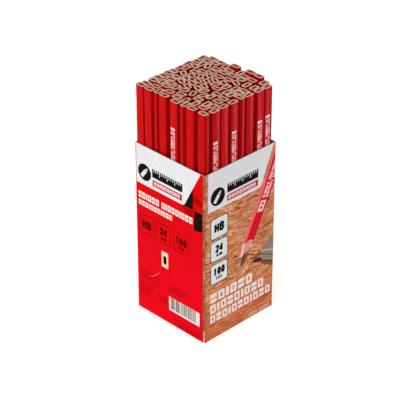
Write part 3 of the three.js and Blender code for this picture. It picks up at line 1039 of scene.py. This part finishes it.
def printed_wood(name, gain, lower_tone):
    """The printed picture of weathered softwood: bent grain, warm and dark bands, and chips."""
    s = Shader(name)
    place = s.attribute("art")
    warp = s.node("TexNoise", Vector=s.scaled(place, (0.03, 0.05, 1)), Scale=1, Detail=2)
    push = s.math("MULTIPLY", warp.outputs["Color"], (10, 22, 0), "VectorMath")
    bent = s.math("ADD", place, push, "VectorMath")
    lie = 14
    broad = s.noise(s.scaled(bent, (0.06, 0.5, 1), lie), 1, 5, 0.62, 0.8)
    fine = s.noise(s.scaled(bent, (0.2, 2.6, 1), lie), 1, 5, 0.65)
    blotch = s.noise(place, 0.045, 3, 0.6)
    flecks = s.noise(s.scaled(place, (0.35, 0.8, 1), lie), 1, 6, 0.8)
    grit = s.noise(s.scaled(place, (0.5, 1.3, 1), 20), 1, 3, 0.6)
    tones = ((0.34, (112, 48, 20)), (0.44, (204, 114, 66)), (0.53, (244, 164, 112)), (0.64, (255, 214, 168)))
    wood = s.layers(
        s.ramp(broad, *[(at, shade(rgb(*tone), gain)) for at, tone in tones]),
        (fine, (0.34, 0.56, 0.62, 0), (150, 74, 40)),
        (blotch, (0.46, 0.6, 0, 0.5), (190, 92, 44)),
        (flecks, (0.61, 0.68, 0, 0.8), (255, 228, 200)),
        (flecks, (0.37, 0.3, 0, 0.85), (84, 36, 18)),
        (grit, (0.47, 0.3, 0, 0.75), (120, 50, 22)),
        (grit, (0.55, 0.7, 0, 0.65), (255, 216, 180)),
        (s.height(place), (56, 10, 0, lower_tone), (200, 92, 46)),
        gain=gain,
    )
    worn = s.mix(rubbed(s, place), wood, rgb(240, 206, 178))
    return s.done(worn, (fine, 0.4, 0.52), PRINT_SHINE, (s.noise(place, 1.6, 3, 0.7), 0.12, 0.00004))


def speckled(name, first, second, scale, place, detail, share, rough, shine, strength, depth):
    """A finish of two colours, mixed by one noise, which also roughens it. Board's noise is fibrous."""
    s = Shader(name)
    stretch = (1, 0.35, 1) if place == "art" else (1, 1, 1)
    speckle = s.noise(s.scaled(s.attribute(place), stretch), scale, detail, 0.7)
    base = s.mix(s.range(speckle, *share), rgb(*first), rgb(*second))
    return s.done(base, (speckle, *rough), shine, (speckle, strength, depth))


def bare_wood():
    """Cedar-like pencil wood: rings across the cut ends, pores, saw marks, a painted highlight that makes it
    paler towards the lacquer, and dusted with graphite round the lead."""
    s = Shader("pencil_wood")
    place = s.attribute("grain")
    swirl = s.noise(s.scaled(place, (1, 1, 0.02)), 0.12, 2)
    turned = {"wave_type": "RINGS", "rings_direction": "Z", "wave_profile": "SAW"}
    rings = s.node("TexWave", turned, Vector=s.scaled(place, (1, 1, 0.004)), Scale=0.22,
                   Distortion=2.4, Detail=2).outputs["Fac"]
    cells = s.node("TexVoronoi", Vector=s.scaled(place, (1, 1, 0.05)), Scale=3.2)
    saw = s.noise(s.scaled(place, (0.5, 5, 1), SAW_TURN), 1.2, 3, 0.6)
    rim = s.attribute("rim", "Fac")
    wood = s.layers(
        s.mix(s.attribute("tone", "Fac"), rgb(250, 196, 174), rgb(206, 134, 114)),
        (rings, (0.2, 0.95, 0, 0.6), (178, 102, 84)),
        (swirl, (0.35, 0.65, 0, 0.35), (216, 124, 108)),
        (cells.outputs["Distance"], (0.16, 0.05, 0, 0.5), (136, 76, 58)),
        (saw, (0.5, 0.72, 0, 0.35), (250, 212, 190)),
        (rim, (0, 0.5, 0.4, 0), (128, 98, 82)),
        # Painted highlight: paler wood towards the lacquer, where rim is near 1
        (rim, (0.6, 1, 0, 0.7), (255, 210, 188)),
    )
    return s.done(wood, (saw, 0.62, 0.85), MATT_SHINE, (saw, 0.5, 0.00012))


def lacquer():
    """Dipped red lacquer with a soft gloss, painted shade darkening it along the corners, faint streaks and
    tiny dents.
    """
    s = Shader("red_lacquer")
    place = s.attribute("grain")
    streaks = s.noise(s.scaled(place, (1.6, 1.6, 0.02)), 1, 4, 0.6)
    cloud = s.noise(s.scaled(place, (0.3, 0.3, 0.03)), 1, 3)
    body = s.layers(
        s.mix(s.attribute("tone", "Fac"), rgb(196, 1, 3), rgb(218, 2, 6)),
        (streaks, (0.35, 0.68, 0, 0.5), (186, 1, 2)),
        (cloud, (0.35, 0.7, 0, 0.35), (226, 4, 8)),
        # Painted shade: dark red on the rounded corners, where the pencils meet
        (s.attribute("edge", "Fac"), (0, 1, 0, 0.9), (70, 0, 2)),
    )
    dents = s.noise(s.scaled(place, (1, 1, 0.25)), 0.9, 4, 0.6)
    return s.done(body, (dents, 0.12, 0.22), LACQUER_SHINE, (dents, 0.15, 0.0001))


def graphite():
    """The lead's cut end: dark grey with a soft sheen, scratched by the saw."""
    s = Shader("pencil_lead")
    place = s.attribute("grain")
    scratch = s.noise(s.scaled(place, (0.6, 6, 1), SAW_TURN), 1.4, 3, 0.6)
    specks = s.noise(place, 2.2, 3, 0.7)
    base = s.ramp(scratch, (0.3, rgb(36, 36, 26)), (0.6, rgb(58, 58, 44)), (0.8, rgb(88, 88, 70)))
    specked = s.layers(base, (specks, (0.35, 0.7, 0, 0.5), (44, 40, 30)))
    return s.done(specked, (scratch, 0.36, 0.55), LEAD_SHINE, (scratch, 0.4, 0.0001))


INK_COLOURS = {
    "panel_white": (237, 238, 240), "badge_grey": (236, 243, 243), "ink_white": (255, 240, 234),
    "ink_pale": (236, 192, 164), "ink_black": (20, 17, 14), "ink_crimson": (214, 4, 34),
    "ink_deep_red": (182, 1, 3), "ink_shadow_red": (92, 2, 3), "ink_fine_red": (196, 2, 12),
    "ink_cream": (254, 222, 194), "ink_scuff": (246, 150, 142), "wood_crack": (82, 36, 18),
    "wood_shade": (150, 88, 58), "slab_top": (150, 132, 120), "slab_edge": (158, 140, 118),
    "slab_light": (194, 178, 158), "slab_line": (72, 60, 48), "ink_cone": (236, 160, 142),
    "ink_cone_lit": (255, 204, 184), "ink_graphite": (104, 60, 44), "ink_graphite_lit": (158, 124, 108),
    "ink_lit_red": (250, 116, 112), "ink_body_red": (232, 12, 46), "ink_edge_red": (196, 6, 34),
    "ink_print_pink": (255, 214, 210),
}


def make_inks():
    inks = {name: printed(f"print_{name}", rgb(*colour)) for name, colour in INK_COLOURS.items()}
    fibre = ("art", 5, (0.3, 0.7, 0, 1), (0.75, 0.95), BOARD_SHINE, 0.3, 0.00008)
    return inks | {
        "side_red": printed("print_side_red", rgb(238, 3, 26), rgb(230, 4, 6)),
        "wood_picture": printed_wood("print_wood_picture", 1.08, 0.6),
        "wood_dark": printed_wood("print_wood_picture_dark", 0.55, 0.3),
        "board_back": speckled("board_inside", (150, 134, 118), (186, 168, 150), 1.2, *fibre),
        "board_cut": speckled("board_cut_edge", (222, 190, 160), (246, 222, 196), 2, *fibre),
        "wood": bare_wood(),
        # The pale ground coat under the lacquer, seen as a thin rim on the cut ends, and pale also as a
        # painted highlight round each end
        "primer_and_rim_highlight": speckled(
            "pale_ground_coat_and_highlight", (255, 208, 184), (238, 160, 138), 1.4, "grain", 3,
            (0.35, 0.65, 0, 1), (0.6, 0.8), MATT_SHINE, 0.3, 0.00008),
        "lacquer": lacquer(),
        "lead": graphite(),
        # The white print on the lacquer, slightly broken where the roller missed
        "foil": speckled(
            "white_print", (255, 232, 234), (226, 120, 132), 1.3, "grain", 4,
            (0.48, 0.7, 0, 0.7), (0.3, 0.5), MATT_SHINE, 0.15, 0.00005),
    }


# ---- stage, light and camera ----

WHITE = (1.0, 1.0, 1.0)
FLOOR_REACH = 6000.0
FLOOR_GLOW = 0.56
WORLD_LIGHT = 0.2

# Name, place, target, size, power and colour. The cards show only as reflections in the lacquer.
LAMPS = (
    ("key", (-1.9, -0.55, 1.5), (0, 0, 0.12), (1.2, 1.2), 21.0, WHITE),
    ("fill", (1.3, -1.9, 0.9), (0, 0, 0.12), (1.0, 1.0), 1.8, WHITE),
    ("top", (0.2, 0.3, 2.2), (0, 0, 0.1), (1.4, 1.4), 15.0, WHITE),
    ("low_card", (0.25, -0.28, 0.05), (0, -0.045, 0.1), (0.014, 0.1), 0.11, (1.0, 0.66, 0.8)),
    ("crimson_card", (0.26, -0.3, 0.04), (0, -0.045, 0.1), (0.1, 0.12), 0.2, (0.5, 0.0, 0.42)),
)


def floor_and_light():
    build = Build()
    square = rect(-FLOOR_REACH, -FLOOR_REACH, FLOOR_REACH, FLOOR_REACH)
    build.add([(x, y, 0.0) for x, y in square], [[0, 1, 2, 3]])
    s = Shader("pale_floor")
    s.set(Base_Color=rgb(252, 252, 252), Roughness=0.9, Specular_IOR_Level=0.0)
    s.set(Emission_Color=(*WHITE, 1.0), Emission_Strength=FLOOR_GLOW)
    make_object("floor", build, [s.material])
    world = bpy.data.worlds.new("studio")
    world.use_nodes = True
    background = world.node_tree.nodes["Background"]
    background.inputs["Color"].default_value = (*WHITE, 1.0)
    background.inputs["Strength"].default_value = WORLD_LIGHT
    bpy.context.scene.world = world
    for name, place, target, size, power, colour in LAMPS:
        data = bpy.data.lights.new(name, "AREA")
        data.shape = "RECTANGLE"
        data.size, data.size_y = size
        data.energy = power
        data.color = colour
        lamp = bpy.data.objects.new(name, data)
        lamp.visible_diffuse = not name.endswith("_card")
        aim(lamp, Vector(place), Vector(target) - Vector(place))


def aim(thing, place, direction):
    """Stands a lamp or the camera at a place, facing that way."""
    thing.location = place
    thing.rotation_euler = direction.to_track_quat("-Z", "Y").to_euler()
    bpy.context.scene.collection.objects.link(thing)


def camera():
    azimuth, elevation = radians(-44.67), radians(30.75)
    distance = 1.673
    target = Vector((4.3, 11.7, 113.4)) * MM
    level = cos(elevation)
    back = Vector((sin(azimuth) * level, -cos(azimuth) * level, sin(elevation)))
    data = bpy.data.cameras.new("camera")
    data.sensor_width = 36.0
    data.lens = 157.1
    data.clip_start = 0.05
    data.clip_end = 50.0
    made = bpy.data.objects.new("camera", data)
    aim(made, target + back * distance, -back)
    bpy.context.scene.camera = made
    bpy.context.scene.view_settings.view_transform = "Standard"


# ---- the object ----

camera()
floor_and_light()
INKS = make_inks()
for pencil in DISPLAY_PENCILS:
    display_pencil(pencil)
for bundle in BUNDLES:
    pencil_bundle(bundle)
ART = {"red": ("side_red", red_side_art()), "wood": ("wood_picture", wood_side_art())}
WALL_ART = (("left", "red"), ("front", "wood"), ("right", "red"), ("back", "wood"))
walls = [carton_side(key, *ART[kind]) for key, kind in WALL_ART]
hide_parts("carton")
carton_flaps()
